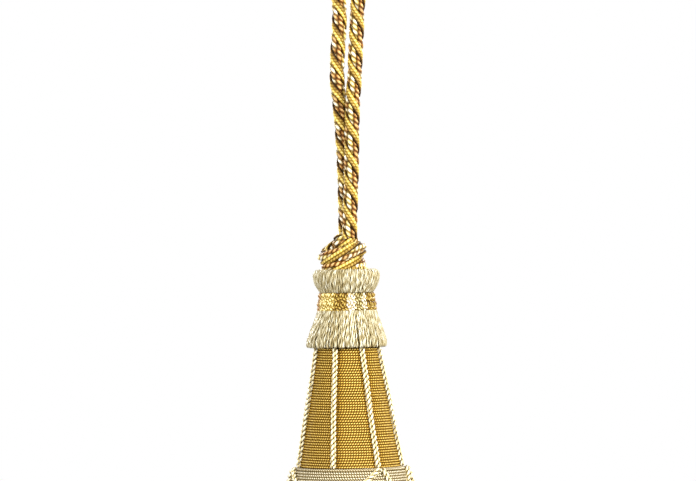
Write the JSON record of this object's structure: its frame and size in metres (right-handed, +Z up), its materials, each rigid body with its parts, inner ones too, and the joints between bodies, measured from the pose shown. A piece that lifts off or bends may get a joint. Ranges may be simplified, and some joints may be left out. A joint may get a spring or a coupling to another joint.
{
  "type": "silk tassel",
  "caption": "Hanging silk tassel with a twisted cord loop, a knot, a cream ruff, a cone wound in gold cord, a round cream base with net cords and a long fringe.",
  "frame": {"origin": "under the top of the cord's bight, where the loop rests on what it hangs from", "axes": "+Z up along the hanging tassel, +X to the right and -Y to the front as pictured"},
  "size_m": [0.0435, 0.042, 0.2739],
  "materials": {
    "four_ply_cord": "twisted gold, peach and cream silk",
    "cream_silk": "lustrous floss silk",
    "silk_braid": "lustrous gold and cream braid",
    "gold_silk_cord": "lustrous wound silk cord",
    "cream_silk_cord": "lustrous wound silk cord",
    "two_ply_cord": "twisted cream and gold silk",
    "silk_fringe": "lustrous cut silk"
  },
  "bodies": {
    "root": {"hanging_cord": "four_ply_cord", "cord_knot": "four_ply_cord", "ruff": "cream_silk", "ruff_band": "silk_braid", "gold_cone": "gold_silk_cord", "bulb": "cream_silk_cord", "skirt": "silk_fringe", "cone_cord_1": "two_ply_cord", "cone_cord_2": "two_ply_cord", "cone_cord_3": "two_ply_cord", "cone_cord_4": "two_ply_cord", "cone_cord_5": "two_ply_cord", "cone_cord_6": "two_ply_cord", "cone_cord_7": "two_ply_cord", "net_cord_1": "two_ply_cord", "net_cord_2": "two_ply_cord", "net_cord_3": "two_ply_cord", "net_cord_4": "two_ply_cord", "net_cord_5": "two_ply_cord", "net_cord_6": "two_ply_cord", "net_cord_7": "two_ply_cord", "net_cord_8": "two_ply_cord", "net_cord_9": "two_ply_cord", "net_cord_10": "two_ply_cord", "net_cord_11": "two_ply_cord", "net_cord_12": "two_ply_cord"}
  },
  "joints": []
}
